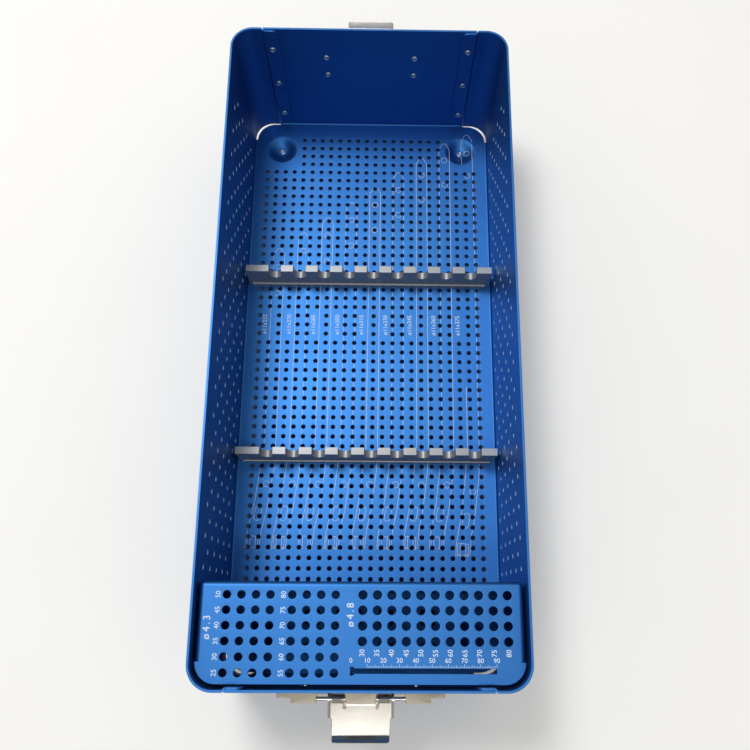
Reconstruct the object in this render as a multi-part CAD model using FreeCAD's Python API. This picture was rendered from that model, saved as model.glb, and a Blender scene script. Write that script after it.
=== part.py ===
import FreeCAD, Part
import math
import os

# Open sterilization container in millimetres: X across, Y along, Z up.
# The origin lies on the ground under the middle of the tub, the rack end is at -Y.

# Folded tub
sheet = 1.5
tub_width = 210.8
tub_length = 473.4
tub_depth = 125.7
fold_inside = 1.5
fold_outside = fold_inside + sheet
corner_outside = 16.5
base_corner = 16.0
end_panel_inset = 23.6
joggle_run = 1.4
joggle_lap = 0.8
flange_lap = 10.9
flange_lift = 8.0
flange_drop = 1.0
flange_round = 4.0

# Dished feet
dish_depth = 4.5
dish_radius = 12.5
dish_floor_radius = 6.5
dish_side_inset = 23.9
dish_end_inset = 27.0
pad_height = 4.0
pad_radius = 9.0

# Plain slots in the base, which stand for its fine drain holes
drain_columns = 12
drain_pitch = 16.0
drain_width = 3.4
drain_gap = 8.0
drain_end_gap = 16.0

# Fastener fits: shank, clearance all round, and the sides of a small repeated round
few_sides = 8
more_sides = 16
rivet_shank = 1.6
rivet_head = 2.7
rivet_head_height = 0.9
fastener_gap = 0.15
corner_rivet_inset = 4.8
corner_rivet_lift = 18.5
corner_rivet_drop = 22.2
mount_rivet_x = 35.3
mount_rivet_lift = 7.5
mount_rivet_drop = 7.0

# Slotted brackets
bracket_end_gap = 2.5
bracket_thickness = 5.6
bracket_height = 28.0
bracket_front_y = (77.7, -74.1)
bracket_foot_reach = 1.8
bracket_foot_height = 5.6
bracket_foot_inset = 3.0
slot_count = 9
slot_pitch = 20.24
slot_width = 9.7
slot_bottom = 15.0
slot_middle_x = 3.3
screw_radius = 1.5
screw_head = 2.8
screw_head_height = 1.6
screw_depth = 9.0
screw_inset = 8.4

# Screw rack
rack_sheet = 1.5
rack_side_gap = 1.9
rack_end_gap = 2.7
rack_run = 61.1
rack_drop = 7.8
rack_fold = 3.0
rack_corner = 13.0
rack_pitch_x = 9.09
rack_pitch_y = 9.26
hole_end_inset = 8.3
gauge_start_x = -6.5
gauge_length = 90.4
gauge_inset = 7.8
gauge_width = 3.1
gauge_head_length = 2.7
gauge_head_width = 5.1

# Three groups of screw holes, from left to right: the gap before each, its columns, rows and diameter
group_gaps = (17.5, 13.63, 17.13)
group_columns = (4, 4, 11)
group_rows = (6, 6, 4)
group_diameters = (5.0, 5.0, 5.5)

# Latch and handle at each end, measured out from the end panel
mount_sheet = 1.2
mount_half_width = 53.0
mount_height = 36.0
mount_drop = 25.7
mount_corner = 6.0
shelf_depth = 8.2
shelf_step_depth = 5.3
shelf_step_x = 44.0
ear_inner_x = 28.0
middle_ear_x = 9.8
cheek_drop = 8.0
middle_cheek_lift = 0.7
pivot_out = 6.2
pivot_drop = 5.0
pin_radius = 1.5
pin_fit = 0.06
pin_head_radius = 2.1
pin_head_length = 0.6
pin_head_gap = 0.2
latch_sheet = 1.2
latch_half_width = 21.0
latch_neck = 2.8
latch_drop = 4.0
latch_stop_gap = 0.2
latch_shoulder = 11.6
latch_reach = 21.8
latch_lip = 5.8
latch_eye = 3.4
latch_flange_end = 2.4
coil_fit = 0.35
spring_wire = 0.9
spring_side_gap = 0.8
spring_rest = 0.1
bridge_out = 3.8
wire = 4.4
eye_side_gap = 0.4
handle_eye = 3.1
handle_drop = 46.0
handle_bend = 10.0
bend_steps = 6

# Levels above the ground
dish_under = pad_height
base_under = dish_under + dish_depth
base_top = base_under + sheet
rim = base_top + tub_depth
mount_top = rim - mount_drop
pivot_z = mount_top - pivot_drop

# Faces of the tub across and along, which the other pieces are set out from
half_width = tub_width / 2
half_length = tub_length / 2
inner_x = half_width - sheet
inner_y = half_length - sheet
flange_y = inner_y - sheet
end_panel_half = half_width - end_panel_inset
flange_edge = end_panel_half - flange_lap
pivot_y = -half_length - pivot_out
rack_half_width = inner_x - rack_side_gap
rack_near_y = rack_end_gap - inner_y
rack_far_y = rack_near_y + rack_run

# Heights of the rivets in the end panels above the ground
corner_rivet_x = end_panel_half - corner_rivet_inset
corner_rivet_low = base_top + corner_rivet_lift
corner_rivet_high = rim - corner_rivet_drop
corner_rivet_levels = (corner_rivet_low, (corner_rivet_low + corner_rivet_high) / 2, corner_rivet_high)
mount_rivet_levels = (mount_top - mount_height + mount_rivet_lift, mount_top - mount_rivet_drop)

os.makedirs("parts", exist_ok=True)

vector = FreeCAD.Vector
across = vector(1, 0, 0)
along = vector(0, 1, 0)
up = vector(0, 0, 1)


def box(x, y, z):
    """Box between the pairs of limits x, y and z."""
    corner = vector(x[0], y[0], z[0])
    return Part.makeBox(x[1] - x[0], y[1] - y[0], z[1] - z[0], corner)


def outline(points, depth):
    """Prism of a closed outline, pushed along the vector depth."""
    closed = points + [points[0]]
    return Part.Face(Part.makePolygon(closed)).extrude(depth)


def ring(radius, middle, direction, sides):
    """Closed polygon of points round middle, square to direction, that stands for a small circle."""
    side = direction.cross(up) if abs(direction.z) < 0.5 else vector(1, 0, 0)
    side.normalize()
    other = direction.cross(side)
    other.normalize()
    points = []
    for step in range(sides):
        angle = 2 * math.pi * (step + 0.5) / sides
        points.append(middle + side * (radius * math.cos(angle)) + other * (radius * math.sin(angle)))
    return points + [points[0]]


def small_round(radius, start, direction, sides=few_sides):
    """Small repeated round bar or bore, with few flat sides."""
    return Part.Face(Part.makePolygon(ring(radius, start, direction, sides))).extrude(direction)


def skinned(rings):
    """Solid with flat sides through closed rings of as many points, from the first ring to the last."""
    faces = [Part.Face(Part.makePolygon(rings[0])), Part.Face(Part.makePolygon(rings[-1]))]
    for low, high in zip(rings, rings[1:]):
        for step in range(len(low) - 1):
            corners = [low[step], low[step + 1], high[step + 1], high[step], low[step]]
            faces.append(Part.Face(Part.makePolygon(corners)))
    return Part.makeSolid(Part.makeShell(faces))


def frustum(low_radius, low, high_radius, high):
    """Upright frustum with flat sides between the points low and high."""
    return skinned([ring(low_radius, low, up, more_sides), ring(high_radius, high, up, more_sides)])


def rounded(shape, radius, chosen):
    """Shape with a fillet on every edge that the test chosen accepts."""
    return shape.makeFillet(radius, [edge for edge in shape.Edges if chosen(edge.BoundBox)])


def fused(solids):
    """One solid from touching solids, without seams."""
    return solids[0].multiFuse(solids[1:]).removeSplitter()


def four_corners(solid):
    """Solid at +X +Y and its mirror images at the other three corners."""
    pair = [solid, solid.mirror(vector(), across)]
    return pair + [half.mirror(vector(), along) for half in pair]


def both_ends(node, near_solids):
    """Save a piece of the near end, and the same piece turned round for the far end."""
    near = Part.makeCompound(near_solids) if len(near_solids) > 1 else near_solids[0]
    near.exportStep("parts/near_" + node + ".step")
    far = near.copy()
    far.rotate(vector(), up, 180)
    far.exportStep("parts/far_" + node + ".step")


# Tub: one blank of blue anodized aluminium sheet, folded up along four lines


def trough(half_span, half_run):
    """Base and two upright walls of folded sheet, along Y."""
    outer = box((-half_span, half_span), (-half_run, half_run), (base_under, rim))
    outer = rounded(outer, fold_outside, lambda b: b.ZMax < base_under + 1 and b.YLength > half_run)
    inner_half = half_span - sheet
    inner = box((-inner_half, inner_half), (-half_run, half_run), (base_top, rim))
    inner = rounded(inner, fold_inside, lambda b: b.ZMax < base_top + 1 and b.YLength > half_run)
    return outer.cut(inner)


base_half_x = half_width - fold_outside
base_half_y = half_length - fold_outside
side_walls = trough(half_width, base_half_y - base_corner)
end_panels = trough(half_length, end_panel_half)
end_panels.rotate(vector(), up, 90)
base = box((-base_half_x, base_half_x), (-base_half_y, base_half_y), (base_under, base_top))
base = rounded(base, base_corner, lambda b: b.ZLength > sheet / 2)

# Upright corner: the side wall rolls round, joggles in by one sheet and ends behind the end panel
roll_x = half_width - corner_outside
roll_y = half_length - corner_outside
joggle_x = end_panel_half + joggle_run
lap_x = end_panel_half - joggle_lap
diagonal = math.sqrt(0.5)
outside_mid = vector(roll_x + corner_outside * diagonal, roll_y + corner_outside * diagonal, base_under)
inside_radius = corner_outside - sheet
inside_mid = vector(roll_x + inside_radius * diagonal, roll_y + inside_radius * diagonal, base_under)
wall_start = base_half_y - base_corner


def at_base(x, y):
    """Point at the underside of the base."""
    return vector(x, y, base_under)


outer_path = [
    Part.makeLine(at_base(half_width, wall_start), at_base(half_width, roll_y)),
    Part.Arc(at_base(half_width, roll_y), outside_mid, at_base(roll_x, half_length)).toShape(),
    Part.makeLine(at_base(roll_x, half_length), at_base(joggle_x, half_length)),
    Part.makeLine(at_base(joggle_x, half_length), at_base(end_panel_half, inner_y)),
]
inner_path = [
    Part.makeLine(at_base(end_panel_half, inner_y), at_base(lap_x, inner_y)),
    Part.makeLine(at_base(lap_x, inner_y), at_base(lap_x, flange_y)),
    Part.makeLine(at_base(lap_x, flange_y), at_base(end_panel_half, flange_y)),
    Part.makeLine(at_base(end_panel_half, flange_y), at_base(joggle_x, inner_y)),
    Part.makeLine(at_base(joggle_x, inner_y), at_base(roll_x, inner_y)),
    Part.Arc(at_base(roll_x, inner_y), inside_mid, at_base(inner_x, roll_y)).toShape(),
    Part.makeLine(at_base(inner_x, roll_y), at_base(inner_x, wall_start)),
    Part.makeLine(at_base(inner_x, wall_start), at_base(half_width, wall_start)),
]
corner_section = Part.Face(Part.Wire(Part.__sortEdges__(outer_path + inner_path)))
corner_wall = corner_section.extrude(up * (rim - base_under))
flange = box(
    (flange_edge, end_panel_half + joggle_run / 2),
    (flange_y, inner_y),
    (base_top + flange_lift, rim - flange_drop),
)
flange = rounded(flange, flange_round, lambda b: b.XMax < flange_edge + 1 and b.ZLength < 1)
corner_wall = corner_wall.fuse(flange)

# Round dish pressed down through the base, with a flat floor for its foot
dish_x = inner_x - dish_side_inset
dish_y = inner_y - dish_end_inset
dish_slant = sheet * 0.35
pad_bore = rivet_shank + fastener_gap


def at_dish(z):
    """Point on the upright axis of the dish at +X +Y."""
    return vector(dish_x, dish_y, z)


dish_outside = frustum(
    dish_floor_radius - dish_slant, at_dish(dish_under), dish_radius - dish_slant, at_dish(base_under)
)
dish_inside = frustum(dish_floor_radius, at_dish(dish_under + sheet), dish_radius, at_dish(base_top))
dish_rim = small_round(dish_radius + sheet, at_dish(base_under), up * sheet, more_sides)
dish_bore = small_round(pad_bore, at_dish(dish_under), up * sheet)
dish = dish_outside.fuse(dish_rim).cut(dish_inside).cut(dish_bore)
dish_opening = small_round(dish_radius + sheet / 2, at_dish(base_under), up * sheet, more_sides)

tub = fused([base, side_walls, end_panels] + four_corners(corner_wall))
for opening in four_corners(dish_opening):
    tub = tub.cut(opening)
tub = fused([tub] + four_corners(dish))

rivet_places = [(corner_rivet_x, level) for level in corner_rivet_levels]
rivet_places += [(mount_rivet_x, level) for level in mount_rivet_levels]
rivet_bores = []
for x, level in rivet_places:
    bore = small_round(rivet_shank + fastener_gap, vector(x, flange_y - sheet, level), along * (4 * sheet))
    rivet_bores += four_corners(bore)
bracket_half = inner_x - bracket_end_gap
screw_x = (screw_inset - bracket_half, bracket_half - screw_inset)
for front_y in bracket_front_y:
    for x in screw_x:
        start = vector(x, front_y + bracket_thickness / 2, base_under)
        rivet_bores.append(small_round(screw_radius + fastener_gap, start, up * sheet))
tub = tub.cut(Part.makeCompound(rivet_bores))

# Drain slots in four bays, clear of the brackets, of the rack's far side and of the dishes
bay_starts = [drain_end_gap - inner_y, rack_far_y + drain_gap]
bay_ends = [rack_far_y - drain_gap]
for front_y in sorted(bracket_front_y):
    bay_ends.append(front_y - bracket_foot_reach - drain_gap)
    bay_starts.append(front_y + bracket_thickness + drain_gap)
bay_ends.append(inner_y - drain_end_gap)
dish_clear_x = dish_x - dish_radius - drain_gap
dish_clear_y = dish_y - dish_radius - drain_gap
drains = []
for bay_start, bay_end in zip(sorted(bay_starts), bay_ends):
    for column in range(drain_columns):
        x = drain_pitch * (column - (drain_columns - 1) / 2)
        beside_dish = abs(x) > dish_clear_x
        start = max(bay_start, -dish_clear_y) if beside_dish else bay_start
        end = min(bay_end, dish_clear_y) if beside_dish else bay_end
        if end - start > 3 * drain_width:
            drains.append(box((x - drain_width / 2, x + drain_width / 2), (start, end), (base_under, base_top)))
tub = tub.cut(Part.makeCompound(drains))
tub.exportStep("parts/tub_body.step")


def rivet(inner_face, stack, direction):
    """Rivet with a flat head each side of a stack of sheets, from its inner face outward."""
    head = direction * rivet_head_height
    outer_face = inner_face + direction * stack
    shank = small_round(rivet_shank, inner_face, direction * stack)
    inner_head = small_round(rivet_head, inner_face - head, head)
    outer_head = small_round(rivet_head, outer_face, head)
    return fused([shank, inner_head, outer_head])


# Rivets that hold each rolled corner's flange to the end panel
corner_rivets = []
for level in corner_rivet_levels:
    start = vector(corner_rivet_x, flange_y, level)
    corner_rivets += four_corners(rivet(start, 2 * sheet, along))
Part.makeCompound(corner_rivets).exportStep("parts/corner_rivets.step")

# Foot pads under the dishes, each held by a rivet through its middle
pad_recess = rivet_head + 2 * fastener_gap
recess_height = 2 * rivet_head_height
pad = small_round(pad_radius, at_dish(0), up * pad_height, more_sides)
pad = pad.cut(small_round(pad_recess, at_dish(0), up * recess_height))
pad = pad.cut(small_round(pad_bore, at_dish(recess_height), up * (pad_height - recess_height)))
pad_names = ("far_right_foot", "far_left_foot", "near_right_foot", "near_left_foot")
for name, solid in zip(pad_names, four_corners(pad)):
    solid.exportStep("parts/" + name + ".step")

foot_rivet = rivet(at_dish(recess_height), dish_under + sheet - recess_height, up)
Part.makeCompound(four_corners(foot_rivet)).exportStep("parts/foot_rivets.step")

# Slotted brackets: aluminium bars with round-bottomed slots that carry nine nails
bracket_section = [
    vector(-bracket_half, -bracket_foot_reach, 0),
    vector(-bracket_half, bracket_thickness, 0),
    vector(-bracket_half, bracket_thickness, bracket_height),
    vector(-bracket_half, 0, bracket_height),
    vector(-bracket_half, 0, bracket_foot_height),
    vector(-bracket_half, -bracket_foot_reach, bracket_foot_height - bracket_foot_reach),
]
bracket = outline(bracket_section, across * (2 * bracket_half))
slot_radius = slot_width / 2
flat_share = math.cos(math.pi / more_sides)
past_y = (-2 * bracket_foot_reach, 2 * bracket_thickness)
for number in range(slot_count):
    slot_x = slot_middle_x + slot_pitch * (number - (slot_count - 1) / 2)
    centre_z = slot_bottom + slot_radius
    round_end = vector(slot_x, past_y[0], centre_z)
    round_run = along * (past_y[1] - past_y[0])
    bracket = bracket.cut(small_round(slot_radius, round_end, round_run, more_sides))
    slot_sides = (slot_x - slot_radius * flat_share, slot_x + slot_radius * flat_share)
    bracket = bracket.cut(box(slot_sides, past_y, (centre_z, bracket_height)))
for side in (-1, 1):
    foot_end = sorted((side * (bracket_half - bracket_foot_inset), side * bracket_half))
    bracket = bracket.cut(box(foot_end, past_y, (0, bracket_foot_height)))

for end, front_y in zip(("far", "near"), bracket_front_y):
    placed = bracket.copy()
    placed.translate(vector(0, front_y, base_top))
    screws = []
    for x in screw_x:
        middle_y = front_y + bracket_thickness / 2
        under = vector(x, middle_y, base_under)
        shank = small_round(screw_radius, under, up * (sheet + screw_depth))
        head = small_round(screw_head, under, up * -screw_head_height)
        screws.append(fused([shank, head]))
        bore_start = vector(x, middle_y, base_top)
        bore = small_round(screw_radius + fastener_gap, bore_start, up * (screw_depth + fastener_gap))
        placed = placed.cut(bore)
    placed.exportStep("parts/" + end + "_bracket.step")
    Part.makeCompound(screws).exportStep("parts/" + end + "_bracket_screws.step")

# Screw rack: a lift-out blue sheet cover with rows of screw holes and a length gauge
rack_top = rim - rack_drop
skin = rack_sheet
cover = box((-rack_half_width, rack_half_width), (rack_near_y, rack_far_y), (base_top, rack_top))
cover = rounded(
    cover,
    rack_fold,
    lambda b: b.ZMin > rack_top - 1 and (b.XLength < 1 or b.YMin > rack_far_y - 1),
)
hollow = box(
    (-rack_half_width + skin, rack_half_width - skin),
    (rack_near_y - rack_corner, rack_far_y - skin),
    (base_top - skin, rack_top - skin),
)
hollow = rounded(
    hollow,
    rack_fold - skin,
    lambda b: b.ZMin > rack_top - skin - 1 and (b.XLength < 1 or b.YMin > rack_far_y - skin - 1),
)
plan = box((-rack_half_width, rack_half_width), (rack_near_y, rack_far_y), (base_top, rack_top))
plan = rounded(plan, rack_corner, lambda b: b.ZLength > 1 and b.YMax < rack_near_y + 1)
rack = cover.cut(hollow).common(plan)

rack_bores = []
group_x = -rack_half_width
for gap_before, columns, rows, diameter in zip(group_gaps, group_columns, group_rows, group_diameters):
    group_x += gap_before
    for column in range(columns):
        for row in range(rows):
            x = group_x + column * rack_pitch_x
            y = rack_far_y - hole_end_inset - row * rack_pitch_y
            start = vector(x, y, rack_top - 2 * skin)
            rack_bores.append(small_round(diameter / 2, start, up * (3 * skin)))
    group_x += (columns - 1) * rack_pitch_x
gauge_y = rack_near_y + gauge_inset
gauge_ends = (gauge_start_x, gauge_start_x + gauge_length)
gauge_sides = (gauge_y - gauge_width / 2, gauge_y + gauge_width / 2)
rack_bores.append(box(gauge_ends, gauge_sides, (rack_top - 2 * skin, rack_top + skin)))
head_sides = (gauge_y - gauge_head_width / 2, gauge_y + gauge_head_width / 2)
head_ends = (gauge_start_x, gauge_start_x + gauge_head_length)
rack_bores.append(box(head_ends, head_sides, (rack_top - 2 * skin, rack_top + skin)))
rack = rack.cut(Part.makeCompound(rack_bores)).removeSplitter()
rack.exportStep("parts/screw_rack.step")


def section_point(x, out, height):
    """Point from the pivot of the near latch: x across, out from the tub, height above the pivot."""
    return vector(x, pivot_y - out, pivot_z + height)


def section(x, places, width):
    """Sheet of the given width along X, with an outline of (out, height) places from the pivot."""
    return outline([section_point(x, out, height) for out, height in places], across * width)


def mirrored(solid):
    """Solid and its mirror image across the middle of the container."""
    return [solid, solid.mirror(vector(), across)]


# Latch mount: stainless plate riveted to the end panel, with three hooded ears that hold the pin
panel_out = -pivot_out
plate_out = panel_out + mount_sheet
shelf_top = pivot_drop
shelf_under = shelf_top - mount_sheet
mount_bottom = mount_top - mount_height
plate_sides = (-half_length - mount_sheet, -half_length)
plate = box((-mount_half_width, mount_half_width), plate_sides, (mount_bottom, mount_top))
lower_corners = [edge for edge in plate.Edges if edge.BoundBox.ZMax < mount_bottom + 1]
plate = plate.makeChamfer(mount_corner, [edge for edge in lower_corners if edge.BoundBox.XLength < 1])
cheek_front = shelf_depth - pivot_out
cheek_places = [
    (panel_out, shelf_top),
    (cheek_front, shelf_top),
    (cheek_front, -pin_radius),
    (0.0, shelf_top - cheek_drop),
    (panel_out, shelf_top - cheek_drop - mount_sheet),
]
middle_cheek_under = pin_radius + middle_cheek_lift
middle_cheek_places = [
    (panel_out, shelf_top),
    (cheek_front, shelf_top),
    (cheek_front, middle_cheek_under),
    (panel_out, middle_cheek_under),
]
step_front = shelf_step_depth - pivot_out
shelf_back = [(panel_out, shelf_under), (panel_out, shelf_top)]
shelf_places = shelf_back + [(cheek_front, shelf_top), (cheek_front, shelf_under)]
step_places = shelf_back + [(step_front, shelf_top), (step_front, shelf_under)]
mount_pieces = [plate, section(-middle_ear_x, shelf_places, 2 * middle_ear_x)]
mount_pieces += mirrored(section(ear_inner_x, shelf_places, shelf_step_x - ear_inner_x))
mount_pieces += mirrored(section(shelf_step_x, step_places, mount_half_width - shelf_step_x))
mount_pieces += mirrored(section(middle_ear_x - mount_sheet, middle_cheek_places, mount_sheet))
for cheek_x in (ear_inner_x, shelf_step_x - mount_sheet):
    mount_pieces += mirrored(section(cheek_x, cheek_places, mount_sheet))
mount = fused(mount_pieces)
bore_radius = (pin_radius + pin_fit) / flat_share
pin_bore = small_round(bore_radius, section_point(-half_width, 0, 0), across * tub_width, more_sides)
mount = mount.cut(pin_bore)
for level in mount_rivet_levels:
    start = vector(mount_rivet_x, -inner_y, level)
    bore = small_round(rivet_shank + fastener_gap, start, along * -(3 * sheet))
    mount = mount.cut(Part.makeCompound(mirrored(bore)))
both_ends("latch_mount", [mount])

mount_rivets = []
for level in mount_rivet_levels:
    start = vector(mount_rivet_x, -inner_y, level)
    mount_rivets += mirrored(rivet(start, sheet + mount_sheet, along * -1))
both_ends("mount_rivets", mount_rivets)

# Pin through the ears' cheeks, the latch and the handle eyes, with a low head at both ends
handle_arm_x = shelf_step_x - mount_sheet - eye_side_gap - wire / 2
pin_length = 2 * (shelf_step_x + pin_head_gap)
pin = Part.makeCylinder(pin_radius, pin_length, section_point(-pin_length / 2, 0, 0), across)
pin_head = small_round(pin_head_radius, section_point(pin_length / 2, 0, 0), across * pin_head_length)
both_ends("hinge_pin", [fused([pin] + mirrored(pin_head))])

# Latch plate: stainless channel folded down flat, with a lip that hooks over the lid
latch_heel = -plate_out - latch_stop_gap
latch_tip_half_width = latch_half_width - latch_neck
web_top = -latch_drop
web_under = web_top - latch_sheet
web_wide = [
    (-latch_heel, web_under),
    (latch_shoulder, web_under),
    (latch_shoulder, web_top),
    (-latch_heel, web_top),
]
lip_run = latch_lip * diagonal
lip_skin = latch_sheet * diagonal
web_narrow = [
    (latch_shoulder, web_under),
    (latch_reach + lip_skin * 0.6, web_under),
    (latch_reach + lip_run + lip_skin, web_top + lip_run - lip_skin),
    (latch_reach + lip_run, web_top + lip_run),
    (latch_reach, web_top),
    (latch_shoulder, web_top),
]
latch_pieces = [
    section(-latch_half_width, web_wide, 2 * latch_half_width),
    section(-latch_tip_half_width, web_narrow, 2 * latch_tip_half_width),
]
flange_x = latch_half_width - latch_sheet
flange_places = [
    (-latch_heel, web_under),
    (latch_shoulder, web_under),
    (latch_shoulder, -latch_flange_end),
    (latch_eye, latch_eye / 3),
    (latch_eye / 2, latch_eye),
    (-latch_eye / 2, latch_eye),
    (-latch_eye, latch_eye / 2),
    (-latch_eye, -latch_eye / 2),
]
latch_pieces += mirrored(section(flange_x, flange_places, latch_sheet))
latch = fused(latch_pieces).cut(pin_bore)
both_ends("latch_plate", [latch])

# Torsion spring: two coils on the pin with back legs that bear on the mount, joined by a bridge on the latch
coil_inner = pin_radius + coil_fit
coil_outer = coil_inner + spring_wire
coil_start_x = middle_ear_x + spring_side_gap
coil_end_x = flange_x - spring_side_gap
coil_run = across * (coil_end_x - coil_start_x)
coil = small_round(coil_outer, section_point(coil_start_x, 0, 0), coil_run)
coil = coil.cut(small_round(coil_inner, section_point(coil_start_x, 0, 0), coil_run))
leg_tip = plate_out + spring_rest
back_leg_places = [(leg_tip, 0), (leg_tip, spring_wire), (-coil_inner, spring_wire), (-coil_inner, 0)]
back_leg = section(coil_end_x - spring_wire, back_leg_places, spring_wire)
bridge_under = web_top + spring_rest
bridge_top = bridge_under + spring_wire
front_leg_places = [(0, -coil_outer), (bridge_out, bridge_under), (bridge_out, bridge_top), (0, -coil_inner)]
front_leg = section(coil_start_x, front_leg_places, spring_wire)
bridge_sides = (bridge_out - spring_wire / 2, bridge_out + spring_wire / 2)
bridge_places = [(bridge_sides[0], bridge_under), (bridge_sides[1], bridge_under)]
bridge_places += [(bridge_sides[1], bridge_top), (bridge_sides[0], bridge_top)]
bridge_half = coil_start_x + spring_wire
bridge = section(-bridge_half, bridge_places, 2 * bridge_half)
spring = fused(mirrored(coil) + mirrored(back_leg) + mirrored(front_leg) + [bridge])
both_ends("latch_spring", [spring])

# Drop handle: bent stainless wire that hangs under the hoods, from eyes on the pin inside the outer cheeks
grip_z = -handle_drop
bend_z = grip_z + handle_bend
inner_arm = handle_arm_x - handle_bend
arm_start = section_point(handle_arm_x, 0, bend_z)
arm = small_round(wire / 2, arm_start, up * (-bend_z - handle_eye / 2))
bend_middle = section_point(inner_arm, 0, bend_z)
bend_rings = []
for step in range(bend_steps + 1):
    turn = FreeCAD.Rotation(along, 90 * step / bend_steps)
    wire_ring = ring(wire / 2, arm_start - bend_middle, up, few_sides)
    bend_rings.append([bend_middle + turn.multVec(point) for point in wire_ring])
bend = skinned(bend_rings)
grip = small_round(wire / 2, section_point(-inner_arm, 0, grip_z), across * (2 * inner_arm))
eye = small_round(handle_eye, section_point(handle_arm_x - wire / 2, 0, 0), across * wire)
handle = fused([grip] + mirrored(bend) + mirrored(arm) + mirrored(eye)).cut(pin_bore)
both_ends("handle", [handle])
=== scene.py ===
import bmesh
import bpy
import math
from mathutils import Matrix, Vector
from mathutils.geometry import delaunay_2d_cdt


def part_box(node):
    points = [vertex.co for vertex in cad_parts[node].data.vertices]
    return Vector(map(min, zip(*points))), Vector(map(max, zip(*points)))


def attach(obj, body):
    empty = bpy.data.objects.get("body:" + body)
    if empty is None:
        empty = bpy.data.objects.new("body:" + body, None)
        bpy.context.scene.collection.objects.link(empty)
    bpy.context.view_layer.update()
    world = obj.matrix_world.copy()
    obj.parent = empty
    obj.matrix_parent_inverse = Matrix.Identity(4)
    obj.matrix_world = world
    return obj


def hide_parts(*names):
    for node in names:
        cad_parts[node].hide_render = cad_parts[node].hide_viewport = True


# Open sterilization container in metres: X across, Y along, Z up, with the screw rack at -Y.
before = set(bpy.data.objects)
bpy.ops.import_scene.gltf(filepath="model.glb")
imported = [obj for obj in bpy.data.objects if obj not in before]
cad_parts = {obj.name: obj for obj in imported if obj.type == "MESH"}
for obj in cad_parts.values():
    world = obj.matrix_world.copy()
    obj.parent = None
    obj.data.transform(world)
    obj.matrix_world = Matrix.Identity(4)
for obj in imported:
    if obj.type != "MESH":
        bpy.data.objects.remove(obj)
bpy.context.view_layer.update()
mm = 0.001

# Tub
# One blank of 1.5 mm aluminium sheet, punched full of drain holes, folded up and anodised blue.
# The side walls roll round the corners, joggle in by one sheet and are riveted behind the end panels.
# Crescents stay open where the base's round corners stop short of the rolled walls.
tub_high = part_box("tub_body")[1]
sheet = 1.5 * mm
fold_inside = 1.5 * mm
fold_outside = fold_inside + sheet
half_width = tub_high.x
half_length = tub_high.y
rim = tub_high.z
inner_x = half_width - sheet
inner_y = half_length - sheet
flange_y = inner_y - sheet
base_top = 10.0 * mm
base_under = base_top - sheet
wall_foot = base_top + fold_inside
fold_x = half_width - fold_outside
fold_y = half_length - fold_outside
base_corner = 16.0 * mm
roll_inside = 15.0 * mm
roll_outside = roll_inside + sheet
roll_x = half_width - roll_outside
roll_y = half_length - roll_outside
roll_steps = 12
panel_half = 81.8 * mm
joggle_x = panel_half + 1.4 * mm
lap_x = panel_half - 0.8 * mm
flange_edge = 70.9 * mm
flange_low = base_top + 8.0 * mm
flange_high = rim - 1.0 * mm
flange_round = 4.0 * mm
dish_x = 80.0 * mm
dish_y = inner_y - 27.0 * mm
dish_radius = 13.5 * mm
dish_floor = 3.6 * mm
dish_depth = 4.5 * mm
dish_softness = 0.35
dish_sides = 56
dish_steps = 16
rivet_bore = 1.75 * mm
base_pitch = 8.0 * mm
base_hole = 1.7 * mm
base_columns = 24
base_rows = 55
base_last_row = 217.7 * mm
dish_block = 4
label_rows = (21, 22, 23)
label_columns = (1, 3, 6, 8, 11, 13, 16, 18, 21)
wall_end = fold_y - base_corner
wall_columns = 39
wall_rows = 5
wall_first_z = base_top + 12.4 * mm
wall_pitch_y = 10.145 * mm
wall_pitch_z = 22.2 * mm
wall_hole = 1.75 * mm
hole_sides = 16
punch_round = 0.3 * mm
rim_band = 2.0 * mm
same_place = 0.001 * mm


def arc(centre, radius, start, end, steps):
    """Points on an arc in the plane, from the start angle to the end angle in degrees."""
    points = []
    for step in range(steps + 1):
        angle = math.radians(start + (end - start) * step / steps)
        points.append((centre[0] + radius * math.cos(angle), centre[1] + radius * math.sin(angle)))
    return points


def hole(x, y, radius, sides=hole_sides):
    """Outline of a round hole, turned clockwise so that the fill leaves it open."""
    return arc((x, y), radius, 360, 0, sides)[:-1]


def both_halves(half):
    """Whole outline or path: the points of one half, then the other half, mirrored and in reverse order."""
    return half + [(-point[0], *point[1:]) for point in reversed(half)]


def new_sheet():
    """Empty sheet of metal. Each of its points has a place on the inner face and one on the outer face."""
    return {"inner": [], "outer": [], "faces": [], "known": {}}


def sheet_point(metal, inside, outside):
    """Number of the sheet's point at that pair of places, made only once."""
    key = tuple(round(value / same_place) for value in (*inside, *outside))
    if key not in metal["known"]:
        metal["known"][key] = len(metal["inner"])
        metal["inner"].append(Vector(inside))
        metal["outer"].append(Vector(outside))
    return metal["known"][key]


def add_strip(metal, rows):
    """Join rows of (inside, outside) places with faces, as a fold or a roll."""
    numbers = [[sheet_point(metal, *pair) for pair in row] for row in rows]
    for near, far in zip(numbers, numbers[1:]):
        for step in range(len(near) - 1):
            corners = [near[step], near[step + 1], far[step + 1], far[step]]
            distinct = list(dict.fromkeys(corners))
            if len(distinct) > 2:
                metal["faces"].append(distinct)


def fills_hole(corners, loop_numbers):
    """True for a triangle inside a hole: its corners are all on that hole, against the hole's own order."""
    on_loops = {loop_numbers[corner] for corner in corners}
    first = corners.index(min(corners))
    return len(on_loops) == 1 and on_loops != {0} and corners[first - 2] > corners[first - 1]


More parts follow.
